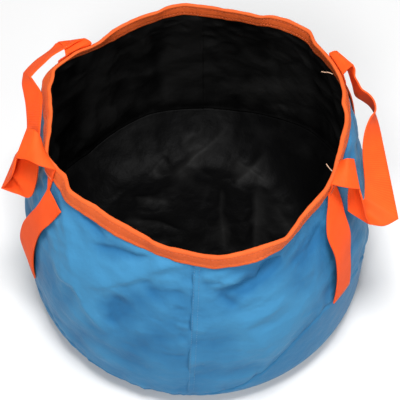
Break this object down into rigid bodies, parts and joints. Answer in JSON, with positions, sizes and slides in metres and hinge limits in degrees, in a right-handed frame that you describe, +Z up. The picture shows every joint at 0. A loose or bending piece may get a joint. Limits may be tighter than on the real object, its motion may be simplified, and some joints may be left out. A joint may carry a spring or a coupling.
{
  "type": "collapsible washbasin",
  "caption": "Round soft washbasin of coated cloth with a dark lining, a taped rim and two webbing handles; it stands open and its wall folds down.",
  "frame": {"origin": "centre of the round base, on the floor", "axes": "+Z up, +X towards the right handle, +Y away from the side with the wall's front seam"},
  "size_m": [0.3393, 0.3189, 0.2278],
  "materials": {
    "outer_cloth": "satin coated nylon",
    "lining_cloth": "smooth coated cloth",
    "binding_tape": "woven tape",
    "webbing": "woven webbing",
    "thread": "thread"
  },
  "bodies": {
    "base": {"outer_base": "outer_cloth", "lining_base": "lining_cloth", "outer_wall_right": "outer_cloth", "outer_wall_left": "outer_cloth", "lining_wall_right": "lining_cloth", "lining_wall_left": "lining_cloth", "right_back_tail": "webbing", "right_back_base_tack": "thread", "right_front_tail": "webbing", "right_front_base_tack": "thread", "left_back_tail": "webbing", "left_back_base_tack": "thread", "left_front_tail": "webbing", "left_front_base_tack": "thread"},
    "rim": {"rim_binding": "binding_tape", "right_back_root": "webbing", "right_back_rim_tack": "thread", "right_front_root": "webbing", "right_front_rim_tack": "thread", "left_back_root": "webbing", "left_back_rim_tack": "thread", "left_front_root": "webbing", "left_front_rim_tack": "thread"},
    "right_handle": {"right_handle": "webbing"},
    "left_handle": {"left_handle": "webbing"}
  },
  "joints": [
    {"name": "rim_collapse", "type": "slide", "parent": "base", "child": "rim", "axis": [0, 0, -1], "range_m": [0, 0.11], "deforming": ["outer_wall_right", "outer_wall_left", "lining_wall_right", "lining_wall_left", "right_back_tail", "right_front_tail", "left_back_tail", "left_front_tail"]},
    {"name": "right_handle_lift", "type": "hinge", "parent": "rim", "child": "right_handle", "pos_m": [0.11621, 0.01175, 0.2111], "axis": [-0.0559, -0.9984, 0], "range_deg": [0, 120]},
    {"name": "left_handle_lift", "type": "hinge", "parent": "rim", "child": "left_handle", "pos_m": [-0.11, 0.02122, 0.2111], "axis": [0.1457, 0.9893, 0], "range_deg": [0, 120]}
  ]
}
